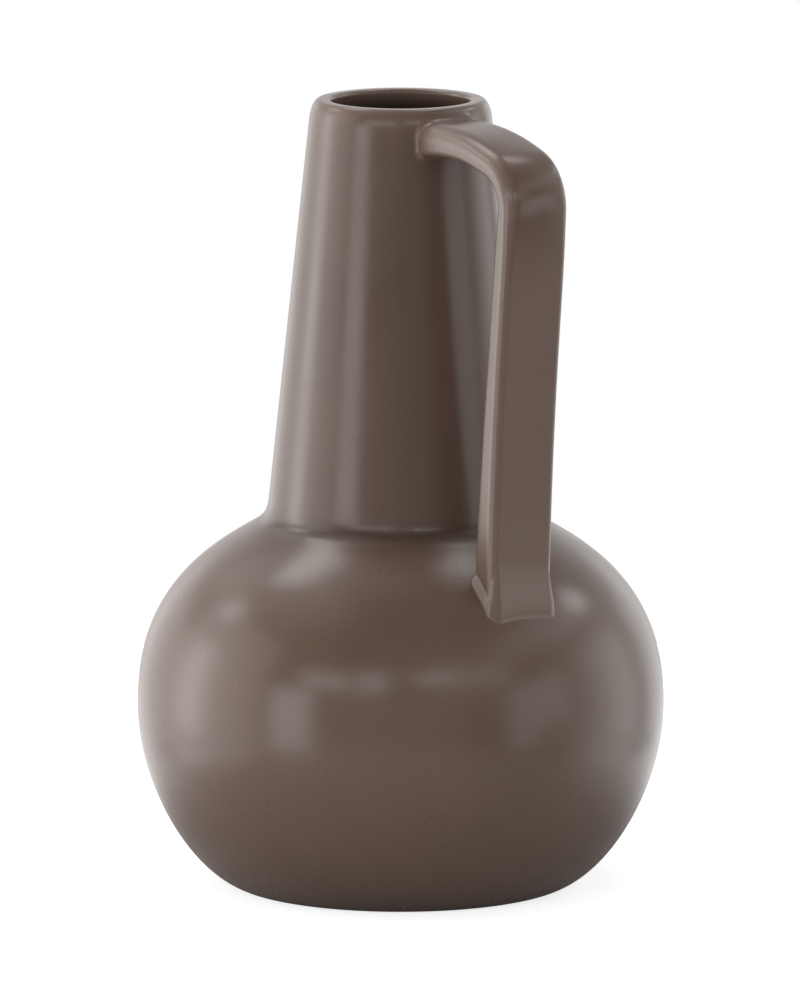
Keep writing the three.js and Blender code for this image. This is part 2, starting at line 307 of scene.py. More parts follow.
def lip_outside():
    """The quarter of an ellipse over which the neck's outside rolls on to its flat top."""
    points = []
    for step in range(lip_steps + 1):
        angle = math.pi / 2 * step / lip_steps
        height = vase_height - lip_round_height * (1 - math.sin(angle))
        points.append(Vector((cone_radius(height) - lip_round_width * (1 - math.cos(angle)), height)))
    return points


def bore_radius(height):
    """The inner radius on the straight line from the mouth to one wall inside the neck's base."""
    top = vase_height - lip_inner_round
    share = (top - height) / (top - neck_base_height)
    return mouth_radius + share * (neck_base_radius - wall - mouth_radius)


def mouth_inside():
    """The quarter round from the flat top of the lip into the bore."""
    centre = Vector((mouth_radius + lip_inner_round, vase_height - lip_inner_round))
    points = []
    for step in range(lip_steps // 2 + 1):
        angle = math.pi / 2 * (1 + step / (lip_steps // 2))
        points.append(centre + lip_inner_round * Vector((math.cos(angle), math.sin(angle))))
    return points


def neck_outline():
    """The closed outline of the neck, from its foot up the outside, over the lip and down the bore."""
    lap = neck_start - neck_rise * seam_lap
    lip = lip_outside()
    cone = [lap.lerp(lip[0], step / cone_steps) for step in range(cone_steps)]
    bore_foot = Vector((bore_radius(neck_start.y), neck_start.y))
    mouth = mouth_inside()
    bore = [mouth[-1].lerp(bore_foot, step / cone_steps) for step in range(1, cone_steps + 1)]
    return [*cone, *lip, *mouth, *bore, lap]


neck = round_piece("tapered_neck", neck_outline())

# %% [markdown]
# ## The seam under the neck
# The neck is luted on to the bulb with slip, and the potter's finger leaves a small cove. It could be a bevel
# between the walls, but neck and bulb are separate pieces, so the cove is a ring of its own. It leaves both
# walls along their tangents, and its toes run on under their glaze, so that no line shows.

# %% Draw the seam
toe_run = 1.5 * mm
toe_sink = 0.05 * mm
cove_steps = 20
inner_soft = 2.0 * mm


def seam_outline():
    """The slice of the wall between neck and bulb, coved outside and softly bent inside."""
    shoulder = shoulder_part(bulb_line, seam_reach)
    shoulder_point = shoulder[-1]
    low_handle = shoulder_point + (shoulder[-1] - shoulder[-2]).normalized() * seam_pull * seam_reach
    high_handle = neck_start.lerp(seam_corner, seam_pull)
    cove = sweep(shoulder_point, low_handle, high_handle, neck_start, cove_steps)
    long_line = shoulder_part(bulb_line, seam_reach + toe_run)
    toe_low = long_line[-1] - outward(long_line, len(long_line) - 1) * toe_sink
    toe_high = neck_start + neck_rise * toe_run + Vector((-toe_sink, 0.0))
    bore_end = Vector((bore_radius(neck_start.y), neck_start.y))
    bore_fall = Vector((bore_radius(0.0) - bore_radius(vase_height), -vase_height)).normalized()
    shoulder_inside = bulb_inside(shoulder)[-1]
    depth = (shoulder_inside - bore_end).cross(shoulder_fall) / bore_fall.cross(shoulder_fall)
    inner_corner = bore_end + bore_fall * depth
    bend = rounded((bore_end, inner_corner, shoulder_inside), inner_soft, soft_steps)
    return [toe_low, *cove, toe_high, bore_end, *bend, shoulder_inside, toe_low]


neck_seam = round_piece("neck_seam", seam_outline())

# %% [markdown]
# ## The line of the strap
# The handle is one pulled strap. Its back, the face turned away from the vase, leaves the lip falling
# gently, turns a tight corner and comes down to the shoulder. A Bezier curve object with a bevel would give a
# tube along such a line, but the strap also swells towards both ends, so the line is worked out here and the
# strap is skinned over it ring by ring. A place on the line is a reach and a height.

# %% Sizes of the strap
strap_width = handle_high.y - handle_low.y
strap_thickness = 8.2 * mm
strap_edge = 2.0 * mm
near_edge = 3.0 * mm
strap_root = Vector((neck_top_radius - 8.0 * mm, vase_height - 4.2 * mm))
strap_corner = Vector((belly_radius - 0.8 * mm, vase_height - 12.7 * mm))
strap_bend_radius = 17.4 * mm
strap_fall = math.radians(-16.0)
strap_drop = math.radians(-98.0)
strap_foot_reach = belly_radius - 13.6 * mm
strap_foot_depth = 4.0 * mm
upper_swell = 3.1 * mm
upper_swell_length = 34.0 * mm
lower_swell = 3.0 * mm
lower_swell_length = 88.0 * mm
swell_ease = 1.25
print("strap is", round(strap_width / mm, 2), "mm wide")


# %% The walls that the strap is cut to
def neck_wall_radius(height):
    """The neck's outer radius at a height, with its rounded lip."""
    rise = height - (vase_height - lip_round_height)
    if rise <= 0.0:
        return cone_radius(height)
    share = min(rise / lip_round_height, 1.0)
    return cone_radius(height) - lip_round_width * (1 - math.sqrt(1 - share ** 2))


wall_steps = 8 * sweep_steps
shoulder_line = [place for place in bulb_sweeps(wall_steps) if place.y >= belly_height]
shoulder_heights = [place.y for place in shoulder_line]


def step_before(values, wanted):
    """The number of the step of a rising list in which a value lies."""
    low, high = 0, len(values) - 1
    while high - low > 1:
        middle = (low + high) // 2
        if values[middle] < wanted:
            low = middle
        else:
            high = middle
    return low


def bulb_wall_radius(height):
    """The bulb's outer radius at a height above its belly."""
    low = step_before(shoulder_heights, height)
    below, above = shoulder_line[low:low + 2]
    return below.x + (above.x - below.x) * (height - below.y) / (above.y - below.y)


def shoulder_height(radius):
    """The height at which the bulb's shoulder has a radius."""
    above = next(index for index, place in enumerate(shoulder_line) if place.x < radius)
    outer, inner = shoulder_line[above - 1], shoulder_line[above]
    return outer.y + (inner.y - outer.y) * (outer.x - radius) / (outer.x - inner.x)


print("strap lands at height", round(shoulder_height(strap_foot_reach) / mm, 1), "mm")

# %% The strap's back line
line_steps = 120


def heading(angle):
    """A direction in the plane of the handle."""
    return Vector((math.cos(angle), math.sin(angle)))


def pulled_run(start, handle, end):
    """Places and directions along a quadratic curve."""
    run = []
    for step in range(line_steps + 1):
        share = step / line_steps
        direction = (handle - start) * (1 - share) + (end - handle) * share
        run.append((pulled(start, handle, end, share), direction.normalized()))
    return run


def bend_run(start, from_angle, to_angle):
    """Places and directions round the strap's corner."""
    centre = start - heading(from_angle + math.pi / 2) * strap_bend_radius
    run = []
    for step in range(line_steps + 1):
        angle = from_angle + (to_angle - from_angle) * step / line_steps
        run.append((centre + heading(angle + math.pi / 2) * strap_bend_radius, heading(angle)))
    return run


def strap_back():
    """The whole back line, from inside the lip to inside the shoulder."""
    tangent = strap_bend_radius * math.tan((strap_fall - strap_drop) / 2)
    bend_start = strap_corner - heading(strap_fall) * tangent
    bend_end = strap_corner + heading(strap_drop) * tangent
    foot = Vector((strap_foot_reach, shoulder_height(strap_foot_reach) - strap_foot_depth))
    root_pull = bend_start - heading(strap_fall) * (bend_start - strap_root).length / 2
    foot_pull_point = bend_end + heading(strap_drop) * (foot - bend_end).length / 2
    top = pulled_run(strap_root, root_pull, bend_start)
    bend = bend_run(bend_start, strap_fall, strap_drop)
    leg = pulled_run(bend_end, foot_pull_point, foot)
    return top + bend[1:] + leg[1:]


back_line = strap_back()
back_distance = [0.0]
for (before, _), (after, _) in zip(back_line, back_line[1:]):
    back_distance.append(back_distance[-1] + (after - before).length)
back_length = back_distance[-1]
print("the strap's back is", round(back_length / mm, 1), "mm long")


# %% Where the strap is at a distance along its back
def on_back(distance):
    """The place and the direction of the back line at a distance from its root."""
    low = step_before(back_distance, distance)
    start, end = back_distance[low:low + 2]
    share = (distance - start) / (end - start)
    (place, along), (next_place, next_along) = back_line[low:low + 2]
    return place.lerp(next_place, share), along.lerp(next_along, share).normalized()


def thickness_at(distance):
    """The strap's thickness, swelling towards both ends."""
    near_neck = max(1 - distance / upper_swell_length, 0.0) ** swell_ease
    near_bulb = max(1 - (back_length - distance) / lower_swell_length, 0.0) ** swell_ease
    return strap_thickness + upper_swell * near_neck + lower_swell * near_bulb


# %% [markdown]
# ### The section of the strap
# The section is a rectangle with rounded edges. Each line that runs along the strap is one spot of that
# section: the corner before it, its share of the way to the next one, and the angle at which its surface
# faces. With those three numbers a line can be followed to any distance, however thick the strap is there.

# %% Lines of the strap's section
edge_steps = 8
flat_steps = 14
side_steps = 5
strap_corners = ((-1.0, 0.0), (1.0, 0.0), (1.0, 1.0), (-1.0, 1.0))
far_top, near_top = 0, 1
worn_edge = 3.4 * mm
worn_length = 84.0 * mm
far_wear = 0.7
crown = 1.6 * mm
crown_middle = 62.0 * mm
crown_spread = 22.0 * mm


def section_lines():
    """Every line of the strap, first round a corner's edge and then on to the next corner."""
    lines = []
    quarter = math.pi / 2
    for corner in range(len(strap_corners)):
        turn = math.pi + quarter * corner
        lines += [(corner, 0.0, turn + quarter * step / edge_steps) for step in range(edge_steps + 1)]
        steps = flat_steps if corner % 2 == 0 else side_steps
        lines += [(corner, step / steps, turn + quarter) for step in range(1, steps)]
    return lines


def edge_radius(corner, distance):
    """How round an edge is: a thumb wore the back's two edges from the neck to the bend."""
    wear = worn_edge * max(1.0 - distance / worn_length, 0.0)
    if corner == near_top:
        return near_edge + wear
    return strap_edge + wear * far_wear if corner == far_top else strap_edge


def crown_at(distance):
    """How far the strap's back falls away to its edges, which it does round the bend alone."""
    return crown * math.exp(-(((distance - crown_middle) / crown_spread) ** 2))


def corner_spot(corner, turn, distance):
    """A spot on one rounded corner of the section: how far it is across, and how far in from the back."""
    across, through = strap_corners[corner]
    edge = edge_radius(corner, distance)
    side = across * (strap_width / 2 - edge) + edge * math.cos(turn)
    depth = through * thickness_at(distance) + (1 - 2 * through) * edge + edge * math.sin(turn)
    return Vector((side, depth))


strap_lines = section_lines()
print("the strap has", len(strap_lines), "lines")


def strap_point(line, distance):
    """A place on one line of the strap, with the directions out of its surface and along it."""
    corner, share, turn = line
    place, along = on_back(distance)
    inward = Vector((along.y, -along.x))
    next_corner = (corner + 1) % len(strap_corners)
    spot = corner_spot(corner, turn, distance).lerp(corner_spot(next_corner, turn, distance), share)
    fall = crown_at(distance) * (2 * spot.x / strap_width) ** 2
    flat = place + inward * (spot.y + fall * (1 - spot.y / thickness_at(distance)))
    out = Vector((inward.x * math.sin(turn), -math.cos(turn), inward.y * math.sin(turn)))
    return Vector((flat.x, -spot.x, flat.y)), out, Vector((along.x, 0.0, along.y))


# %% Where a line meets a wall
seat_search_steps = 30
slope_step = 0.1 * mm


def wall_gap(wall_radius, place):
    """How far a place stands out of a wall, measured level."""
    return math.hypot(place.x, place.y) - wall_radius(place.z)


def wall_normal(wall_radius, place):
    """The direction out of a wall at a place on it."""
    slope = (wall_radius(place.z + slope_step) - wall_radius(place.z - slope_step)) / (2 * slope_step)
    return Vector((*Vector((place.x, place.y)).normalized(), -slope)).normalized()


def seat_distance(line, wall_radius, buried, free):
    """The distance at which one line of the strap comes out of a wall."""
    for _ in range(seat_search_steps):
        middle = (buried + free) / 2
        if wall_gap(wall_radius, strap_point(line, middle)[0]) < 0.0:
            buried = middle
        else:
            free = middle
    return (buried + free) / 2


root_search = back_distance[line_steps]
leg_search = back_distance[2 * line_steps]
neck_seats = [seat_distance(line, neck_wall_radius, 0.0, root_search) for line in strap_lines]
bulb_seats = [seat_distance(line, bulb_wall_radius, back_length, leg_search) for line in strap_lines]
print("strap seats at the neck in mm:", round(min(neck_seats) / mm, 2), round(max(neck_seats) / mm, 2))
print("strap seats at the bulb in mm:", round(min(bulb_seats) / mm, 2), round(max(bulb_seats) / mm, 2))

# %% [markdown]
# ### Skinning rings
# A circle primitive becomes the first ring, and every next ring is extruded from the last and laid in its
# place. Each vertex carries the number of its line, and extrude copies that number, so a new ring knows what
# belongs where. Both open ends are filled and poked to a fan, inside the clay where nobody looks.

# %% Helper that skins rings
def lay_ring(piece, ring):
    """The selected ring of vertices is laid on its places, each by the number of its line."""
    mesh = bmesh.from_edit_mesh(piece.data)
    number = mesh.verts.layers.int["line"]
    for vertex in mesh.verts:
        if vertex.select:
            vertex.co = ring[vertex[number]]
    bmesh.update_edit_mesh(piece.data)


def close_end(piece, ring):
    """A ring is selected by its places, filled and poked."""
    bpy.ops.mesh.select_all(action="DESELECT")
    mesh = bmesh.from_edit_mesh(piece.data)
    number = mesh.verts.layers.int["line"]
    for vertex in mesh.verts:
        vertex.select = (vertex.co - ring[vertex[number]]).length < weld
    mesh.select_flush_mode()
    bmesh.update_edit_mesh(piece.data)
    bpy.ops.mesh.edge_face_add()
    bpy.ops.mesh.poke()


def skin_rings(name, rings):
    """A closed piece skinned over rings of equal length."""
    deselect_all()
    bpy.ops.mesh.primitive_circle_add(vertices=len(rings[0]), radius=strap_width / 2)
    piece = bpy.context.object
    piece.name = name
    piece.data.name = name
    numbers = piece.data.attributes.new("line", "INT", "POINT")
    numbers.data.foreach_set("value", range(len(rings[0])))
    bpy.ops.object.mode_set(mode="EDIT")
    bpy.ops.mesh.select_all(action="SELECT")
    lay_ring(piece, rings[0])
    for ring in rings[1:]:
        bpy.ops.mesh.extrude_region_move()
        lay_ring(piece, ring)
    close_end(piece, rings[0])
    close_end(piece, rings[-1])
    return finish_piece(piece)


# %% [markdown]
# ## The strap
# Near the neck and the bulb the rings fan out, so that the first and the last one follow the wall that they
# end in. Between them they are cut square to the strap, about every 1.5 mm, which keeps the bend round.

# %% Skin the strap
ring_pitch = 1.5 * mm
fan_steps = 9
neck_fan = 6.0 * mm
bulb_fan = 8.0 * mm
buried = 2.0 * mm


def strap_stations():
    """For every ring, the distance at which each line crosses it."""
    square_start = max(neck_seats) + neck_fan
    square_end = min(bulb_seats) - bulb_fan
    stations = [[seat - buried for seat in neck_seats]]
    for step in range(fan_steps):
        stations.append([seat + (square_start - seat) * step / fan_steps for seat in neck_seats])
    square_length = square_end - square_start
    steps = round(square_length / ring_pitch)
    for step in range(steps + 1):
        stations.append([square_start + square_length * step / steps] * len(strap_lines))
    for step in range(1, fan_steps + 1):
        stations.append([square_end + (seat - square_end) * step / fan_steps for seat in bulb_seats])
    stations.append([min(seat + buried, back_length) for seat in bulb_seats])
    return stations


strap_rings = [
    [strap_point(line, distance)[0] for line, distance in zip(strap_lines, station)]
    for station in strap_stations()
]
strap = skin_rings("strap", strap_rings)

# %% [markdown]
# ## The slip round the strap's ends
# Slip was smoothed into the corner round each end, so it sits in a small cove. A bevel would need strap and
# wall to be one mesh. Instead the cove is skinned too: each line leaves the strap along its surface and runs
# out on the curved wall. The foot was pressed down harder: its back swells before it meets the shoulder.

# %% Skin the two saddles
upper_rise = (1.3 * mm, 2.6 * mm, 2.0 * mm)
upper_spread = upper_rise
foot_rise = (4.5 * mm, 18.0 * mm, 2.5 * mm)
foot_spread = (1.4 * mm, 3.2 * mm, 1.6 * mm)
saddle_steps = 12
saddle_lap = 1.0 * mm
saddle_sink = 0.01 * mm
saddle_bury = 1.0 * mm


def size_at(line, side, back, front):
    """A size of the slip at a line, from those at the strap's sides, at its back and at its front."""
    facing = math.sin(line[2])
    return side + ((front if facing > 0.0 else back) - side) * facing ** 2


def slip_curve(share, pressed):
    """How far the slip still is up the strap and already out on the wall: a cove, or a pressed swell."""
    if pressed:
        return 1 - share, share ** 2 * (3 - 2 * share)
    return (1 - share) ** 2, share ** 2


def saddle_line(line, seat, towards_free, wall_radius, rises, spreads, pressed):
    """One line of a saddle, from inside the strap, over the slip, to inside the wall."""
    rise_size, spread_size = size_at(line, *rises), size_at(line, *spreads)
    place, out, _ = strap_point(line, seat)
    normal = wall_normal(wall_radius, place)
    spread = (out - normal * out.dot(normal)).normalized()
    lapped, lapped_out, _ = strap_point(line, seat + towards_free * (rise_size + saddle_lap))
    spots = [lapped - lapped_out * saddle_bury, lapped - lapped_out * saddle_sink * 4]
    for step in range(saddle_steps + 1):
        share = step / saddle_steps
        up, across = slip_curve(share, pressed)
        rise, rise_out, _ = strap_point(line, seat + towards_free * rise_size * up)
        spot = rise + spread * spread_size * across
        height_wanted = (spot - place).dot(normal)
        height_now = wall_gap(wall_radius, spot) * normal.xy.length
        laid = spot + normal * (height_wanted - height_now) * share ** 2
        sunk = normal * saddle_sink * share + rise_out * saddle_sink * (1 - share)
        spots.append(laid - sunk)
    toe = spots[-1]
    spots.append(toe + spread * saddle_lap - normal * saddle_lap / 4)
    spots.append(toe + spread * saddle_lap / 2 - normal * (buried + saddle_lap / 2))
    return spots


def saddle(name, seats, towards_free, wall_radius, *slip):
    """The ring of slip between the strap and one wall."""
    ends = zip(strap_lines, seats)
    lines = [saddle_line(line, seat, towards_free, wall_radius, *slip) for line, seat in ends]
    return skin_rings(name, [list(ring) for ring in zip(*lines)])


neck_saddle = saddle("neck_saddle", neck_seats, 1.0, neck_wall_radius, upper_rise, upper_spread, False)
bulb_saddle = saddle("bulb_saddle", bulb_seats, -1.0, bulb_wall_radius, foot_rise, foot_spread, True)

# %% [markdown]
# ## The glaze
# The finish is one satin glaze, a warm grey brown, over the whole vase. A single flat colour would look like
# plastic. Its tone drifts slowly, fine pigment mottles it, and its skin has a faint orange peel with a few
# pinholes. Its colour is also paler over edges, partly thin glaze and partly painted light, and darker as
# painted shade in the corner under the neck, down the neck and inside the bore. An effect is a node group
# with named inputs, so that it can be used again with other values.

# %% Helpers for node groups
def new_group(name, result, **sizes):
    """An empty node group, with coordinates and named numbers that go in and one number that comes out."""
    group = bpy.data.node_groups.new(name, "ShaderNodeTree")
    group.interface.new_socket("Coordinates", in_out="INPUT", socket_type="NodeSocketVector")
    for size, value in sizes.items():
        label = size.replace("_", " ")
        socket = group.interface.new_socket(label, in_out="INPUT", socket_type="NodeSocketFloat")
        socket.default_value = value
    group.interface.new_socket(result, in_out="OUTPUT", socket_type="NodeSocketFloat")
    return group, group.nodes.new("NodeGroupInput").outputs, group.nodes.new("NodeGroupOutput").inputs


level_part = (1.0, 1.0, 0.0)


def feed(tree, socket, value):
    """A socket is given another node's output, or a plain value."""
    if isinstance(value, bpy.types.NodeSocket):
        tree.links.new(value, socket)
    else:
        socket.default_value = value


def feed_named(tree, node, **values):
    """A node's inputs are given values by their names."""
    for name, value in values.items():
        feed(tree, node.inputs[name.replace("_", " ")], value)
    return node


def new_node(tree, kind, **values):
    """A new node of a kind, with values for its inputs."""
    return feed_named(tree, tree.nodes.new("ShaderNode" + kind), **values)


def operate(tree, kind, operation, values):
    """A node that does one operation on its values."""
    node = new_node(tree, kind)
    node.operation = operation
    for socket, value in zip(node.inputs, values):
        feed(tree, socket, value)
    return node


def math_node(tree, operation, *values):
    """One math node's output."""
    return operate(tree, "Math", operation, values).outputs[0]


def vector_node(tree, operation, output, *values):
    """One vector math node's output."""
    return operate(tree, "VectorMath", operation, values).outputs[output]


def noise_node(tree, place, scale, detail, roughness):
    """Noise at a scale."""
    node = new_node(tree, "TexNoise", Vector=place, Scale=scale, Detail=detail, Roughness=roughness)
    return node.outputs["Fac"]


def range_node(tree, value, low, high, to_low, to_high):
    """A value taken from one range to another, smoothly and held at the ends."""
    node = new_node(
        tree, "MapRange", Value=value, From_Min=low, From_Max=high, To_Min=to_low, To_Max=to_high
    )
    node.interpolation_type = "SMOOTHSTEP"
    return node.outputs["Result"]


# %% Slow drift and fine mottle
def build_mottle():
    """Tone that drifts over centimetres and mottles over a millimetre, around one half."""
    group, given, result = new_group(
        "glaze_mottle", "Tone", Drift_Scale=22.0, Mottle_Scale=650.0, Mottle_Share=0.16
    )
    drift = noise_node(group, given["Coordinates"], given["Drift Scale"], 2.0, 0.5)
    mottle = noise_node(group, given["Coordinates"], given["Mottle Scale"], 1.5, 0.5)
    share = given["Mottle Share"]
    slow = math_node(group, "MULTIPLY", drift, math_node(group, "SUBTRACT", 1.0, share))
    fine = math_node(group, "MULTIPLY", mottle, share)
    feed(group, result["Tone"], math_node(group, "ADD", slow, fine))
    return group


glaze_mottle = build_mottle()


# %% Specks and pinholes
smallest_spot = 0.0001
spot_core = 0.6


def build_specks():
    """Small round spots scattered in cells: a mask that is one inside a spot."""
    group, given, result = new_group("kiln_specks", "Mask", Cell_Scale=160.0, Spot_Size=0.08, Share=0.3)
    cells = new_node(group, "TexVoronoi", Vector=given["Coordinates"], Scale=given["Cell Scale"])
    split = new_node(group, "SeparateColor", Color=cells.outputs["Color"])
    chosen = math_node(group, "LESS_THAN", split.outputs["Red"], given["Share"])
    size = math_node(group, "MULTIPLY", given["Spot Size"], split.outputs["Green"])
    above_zero = math_node(group, "ADD", size, smallest_spot)
    near = math_node(group, "DIVIDE", cells.outputs["Distance"], above_zero)
    spot = range_node(group, near, spot_core, 1.0, 1.0, 0.0)
    feed(group, result["Mask"], math_node(group, "MULTIPLY", spot, chosen))
    return group


kiln_specks = build_specks()


# %% Orange peel and pinholes
def build_skin():
    """The height of the surface: slow waves, orange peel and pinholes."""
    group, given, result = new_group(
        "glaze_skin", "Height", Peel_Scale=420.0, Wave_Scale=45.0, Wave_Share=4.0, Pinholes=0.0
    )
    peel = noise_node(group, given["Coordinates"], given["Peel Scale"], 2.0, 0.5)
    wave = noise_node(group, given["Coordinates"], given["Wave Scale"], 1.0, 0.4)
    waves = math_node(group, "MULTIPLY", wave, given["Wave Share"])
    raised = math_node(group, "ADD", peel, waves)
    feed(group, result["Height"], math_node(group, "SUBTRACT", raised, given["Pinholes"]))
    return group


glaze_skin = build_skin()
print("node groups:", [group.name for group in bpy.data.node_groups])

# %% [markdown]
# ### Pale edges and painted shade
# Where the colour is paler or darker follows from the shape, so a piece has masks painted on its vertices:
# one for edges, paler partly where the glaze ran thin and partly as painted light, one for painted shade in
# the corner under the neck and down the neck, and one for painted shade in the bore.

# %% Paint the masks
def paint_mask(piece, name, value_at):
    """A mask on the vertices, from a function of a vertex's place."""
    mask = piece.data.attributes.new(name, "FLOAT", "POINT")
    mask.data.foreach_set("value", [value_at(vertex.co) for vertex in piece.data.vertices])


def near_ring(place, ring, reach):
    """One on a ring, given by its radius and height, fading to zero at a reach from it."""
    away = (Vector((place.xy.length, place.z)) - ring).length
    return max(1.0 - away / reach, 0.0) ** 2


lip_turn = 4
outer_lip = lip_outside()[-lip_turn]
inner_lip = mouth_inside()[lip_steps // 4]
# Reaches of the paler lip edges, partly thin glaze and partly painted light.
outer_lip_reach = 7.0 * mm
inner_lip_reach = 4.5 * mm
# Reach and depth of painted shade: in the corner under the neck, in the bore and down the neck.
seam_shade_reach = 13.0 * mm
bore_shade_start = 2.2 * mm
bore_shade_depth = 4.0 * mm
neck_shade = 0.28
neck_shade_fade = 14.0 * mm


def lip_pale_and_light(place):
    """Paler over both edges of the lip: partly thin glaze, and partly painted light on the lip's front and
    the top of the bore.
    """
    outer = near_ring(place, outer_lip, outer_lip_reach)
    return max(outer, near_ring(place, inner_lip, inner_lip_reach))


def seam_painted_shade(place):
    """Painted shade in the corner under the neck, outside only."""
    return near_ring(place, seam_corner, seam_shade_reach)


def neck_painted_shade(place):
    """Painted shade on the neck: darker below the lip, and most so in the corner under it."""
    darker = neck_shade * min(max((outer_lip.y - place.z) / neck_shade_fade, 0.0), 1.0)
    return max(darker, seam_painted_shade(place))


def bore_painted_shade(place):
    """Painted shade inside: it deepens from the mouth's edge down the bore."""
    inside = place.xy.length < bore_radius(place.z) + wall / 4
    return min(max((inner_lip.y - place.z - bore_shade_start) / bore_shade_depth, 0.0), 1.0) if inside else 0.0


# Paler lip edges, partly thin glaze and partly painted light.
paint_mask(neck, "pale_glaze_and_painted_light", lip_pale_and_light)
# Painted shade in the bore.
paint_mask(neck, "bore_shade", bore_painted_shade)
# Painted shade on the neck, deepest in the corner under it.
paint_mask(neck, "painted_shade", neck_painted_shade)
# Painted shade in the corner under the neck, on the bulb and on the seam.
for piece in (bulb, neck_seam):
    paint_mask(piece, "painted_shade", seam_painted_shade)


face_start = strap_corner.y - strap_bend_radius
face_fade = 20.0 * mm


def edge_pale_and_light(number, height):
    """Paler along the strap's four edges, partly thin glaze and partly painted highlight, and painted light
    on its long outer face below the bend.
    """
    if number >= len(strap_lines):
        return 0.0
    _, share, turn = strap_lines[number]
    edge = abs(math.sin(2 * turn)) if share == 0.0 else 0.0
    below = min(max((face_start - height) / face_fade, 0.0), 1.0)
    return max(edge, below * max(-math.sin(turn), 0.0))


# Paler strap edges, partly thin glaze and partly painted highlight, and painted light on the outer face below
# the bend.
for piece in (strap, neck_saddle, bulb_saddle):
    lines = piece.data.attributes["line"].data
    pale_and_light = [edge_pale_and_light(line.value, vertex.co.z) for line, vertex in zip(lines, piece.data.vertices)]
    piece.data.attributes.new("pale_glaze_and_painted_light", "FLOAT", "POINT").data.foreach_set("value", pale_and_light)


# %% Helpers for the glaze
colour_sockets = (6, 7)
colour_output = 2


def mix_colours(tree, factor, *colours):
    """Two colours mixed by a mask; each is a socket or a plain colour."""
    node = new_node(tree, "Mix", Factor=factor)
    node.data_type = "RGBA"
    for number, colour in zip(colour_sockets, colours):
        feed(tree, node.inputs[number], (*colour, 1.0) if isinstance(colour, tuple) else colour)
    return node.outputs[colour_output]


def use_group(tree, group, coordinates, **values):
    """A node group placed in a material with its own values."""
    node = new_node(tree, "Group")
    node.node_tree = group
    return feed_named(tree, node, Coordinates=coordinates, **values).outputs[0]


def new_material(name):
    """A new material, with its nodes and its shader."""
    material = bpy.data.materials.new(name)
    material.use_nodes = True
    return material, material.node_tree, material.node_tree.nodes["Principled BSDF"]


def mask_attribute(tree, name):
    """A mask painted on the vertices."""
    node = new_node(tree, "Attribute")
    node.attribute_name = name
    return node.outputs["Fac"]


# %% The bare foot ring
ring_heights = (0.1 * mm, 0.2 * mm)
ring_inside = foot_radius - foot_ring_width
ring_inner_fade = (ring_inside - 0.3 * mm, ring_inside)
ring_outer_fade = (foot_radius - 1.6 * mm, foot_radius - 1.3 * mm)
ring_wander = 1.2 * mm
ring_wander_scale = 60.0


def bare_ring(tree, coordinates):
    """A mask for the foot ring that was wiped bare, with the uneven edge of a sponged line."""
    level = vector_node(tree, "MULTIPLY", "Vector", coordinates, level_part)
    radius = vector_node(tree, "LENGTH", "Value", level)
    noise = noise_node(tree, coordinates, ring_wander_scale, 1.0, 0.5)
    wander = math_node(tree, "MULTIPLY", math_node(tree, "SUBTRACT", noise, 0.5), ring_wander)
    uneven = math_node(tree, "ADD", radius, wander)
    height = new_node(tree, "SeparateXYZ", Vector=coordinates).outputs["Z"]
    low = range_node(tree, height, *ring_heights, 1.0, 0.0)
    inner = range_node(tree, uneven, *ring_inner_fade, 0.0, 1.0)
    outer = range_node(tree, uneven, *ring_outer_fade, 1.0, 0.0)
    return math_node(tree, "MULTIPLY", low, math_node(tree, "MULTIPLY", inner, outer))


# %% The glaze itself
glaze_brown = (0.134, 0.0865, 0.0635)
glaze_dark = (0.118, 0.0755, 0.0555)
# Colour of the paler edges: partly thin glaze, partly painted light.
pale_glaze_and_light = (0.2, 0.14, 0.11)
# Colour of painted shade in the corner under the neck and on the neck.
painted_shade_brown = (0.06, 0.036, 0.026)
# Colour of painted shade inside the bore.
painted_bore_shade = (0.015, 0.009, 0.007)
speck_dark = (0.045, 0.028, 0.022)
clay_pale = (0.56, 0.49, 0.4)
clay_dark = (0.43, 0.36, 0.28)
pale_and_light_strength = 0.45
painted_shade_strength = 0.92
speck_strength = 0.5
pinhole_depth = 4.0
satin_spread = 0.03
bare_roughness = 0.45
skin_strength = 0.08
skin_depth = 0.15 * mm


